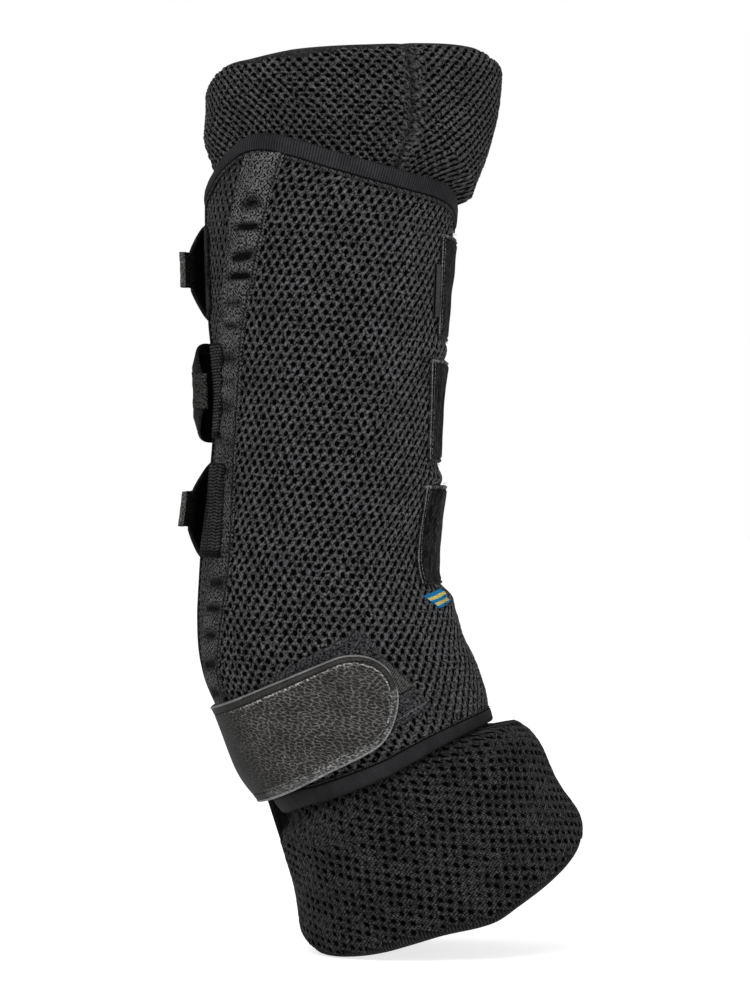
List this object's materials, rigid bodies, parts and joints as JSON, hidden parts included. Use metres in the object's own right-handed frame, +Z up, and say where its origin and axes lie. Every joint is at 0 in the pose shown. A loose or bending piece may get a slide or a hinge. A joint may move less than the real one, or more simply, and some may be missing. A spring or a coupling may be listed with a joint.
{
  "type": "equine lower leg boot",
  "caption": "Padded spacer-mesh boot for a horse's lower leg, opening along the back, closed by three cannon straps and a wide fetlock strap.",
  "frame": {"origin": "on the axis of the leg cavity, behind the middle cannon strap", "axes": "+X to the front of the leg, +Y to the outer (opening) side, +Z up the cannon"},
  "size_m": [0.2025, 0.1255, 0.4481],
  "materials": {
    "shell_mesh": "matte 3-D spacer mesh, charcoal, with staggered open cells",
    "liner_mesh": "matte 3-D spacer mesh, black, with larger cells on the skirt",
    "wadding": "soft polyester wadding",
    "lining": "smooth brushed lining cloth, charcoal",
    "binding_tape": "ribbed elastic binding tape, dark grey",
    "ribbon": "satin-faced twill ribbon, black, slightly puckered",
    "leatherette": "smooth black leatherette, semi-matte",
    "pebbled_leatherette": "pebbled black leatherette with satin gloss",
    "elastic": "woven elastic webbing, black",
    "loop_knit": "fine loop knit, charcoal",
    "hook_tape": "black hook tape",
    "pull_tape": "grey woven tape",
    "keeper": "smooth grey leatherette",
    "tag_cloth": "blue woven tag with plain yellow stripes"
  },
  "bodies": {
    "root": {"shell_back_panel": "shell_mesh", "shell_medial_panel": "shell_mesh", "shell_front_panel": "shell_mesh", "seam_ribbon": "ribbon", "top_binding": "binding_tape", "hem_binding": "binding_tape", "closing_binding": "binding_tape", "liner_mesh": "liner_mesh", "liner_wadding": "wadding", "liner_lining": "lining", "strap_anchor_1": "leatherette", "strap_anchor_2": "leatherette", "strap_anchor_3": "leatherette", "anchor_keeper": "keeper", "side_tag": "tag_cloth", "elastic_band_1": "elastic", "elastic_band_2": "elastic", "elastic_band_3": "elastic", "loop_patch_1": "loop_knit", "loop_patch_2": "loop_knit", "loop_patch_3": "loop_knit", "fetlock_anchor": "leatherette", "fetlock_band": "elastic", "fetlock_loop_patch": "loop_knit", "fetlock_patch_end": "pull_tape"},
    "flap": {"flap_panel": "shell_mesh", "flap_top_binding": "binding_tape", "flap_hem_binding": "binding_tape", "flap_edge_binding": "binding_tape", "flap_mesh": "liner_mesh", "flap_wadding": "wadding", "flap_lining": "lining"},
    "strap_1_body": {"strap_1": "leatherette", "hook_patch_1": "hook_tape", "pull_tab_1": "pull_tape"},
    "strap_2_body": {"strap_2": "leatherette", "hook_patch_2": "hook_tape", "pull_tab_2": "pull_tape"},
    "strap_3_body": {"strap_3": "leatherette", "hook_patch_3": "hook_tape", "pull_tab_3": "pull_tape"},
    "fetlock_strap_body": {"fetlock_strap": "pebbled_leatherette", "fetlock_hook_patch": "hook_tape"}
  },
  "joints": [
    {"name": "flap_fold", "type": "hinge", "parent": "root", "child": "flap", "pos_m": [0, 0.062, 0], "axis": [0.0785, 0, -0.9969], "range_deg": [0, 80]},
    {"name": "strap_1_fold", "type": "hinge", "parent": "flap", "child": "strap_1_body", "pos_m": [-0.005, 0.062, 0.064], "axis": [0.0785, 0, -0.9969], "range_deg": [0, 95]},
    {"name": "strap_2_fold", "type": "hinge", "parent": "flap", "child": "strap_2_body", "pos_m": [-0.0003, 0.062, 0.004], "axis": [0.0785, 0, -0.9969], "range_deg": [0, 95]},
    {"name": "strap_3_fold", "type": "hinge", "parent": "flap", "child": "strap_3_body", "pos_m": [0.0043, 0.062, -0.055], "axis": [0.0785, 0, -0.9969], "range_deg": [0, 95]},
    {"name": "fetlock_strap_fold", "type": "hinge", "parent": "flap", "child": "fetlock_strap_body", "pos_m": [0.0126, 0.062, -0.16], "axis": [0.0785, 0, -0.9969], "range_deg": [0, 95]}
  ]
}
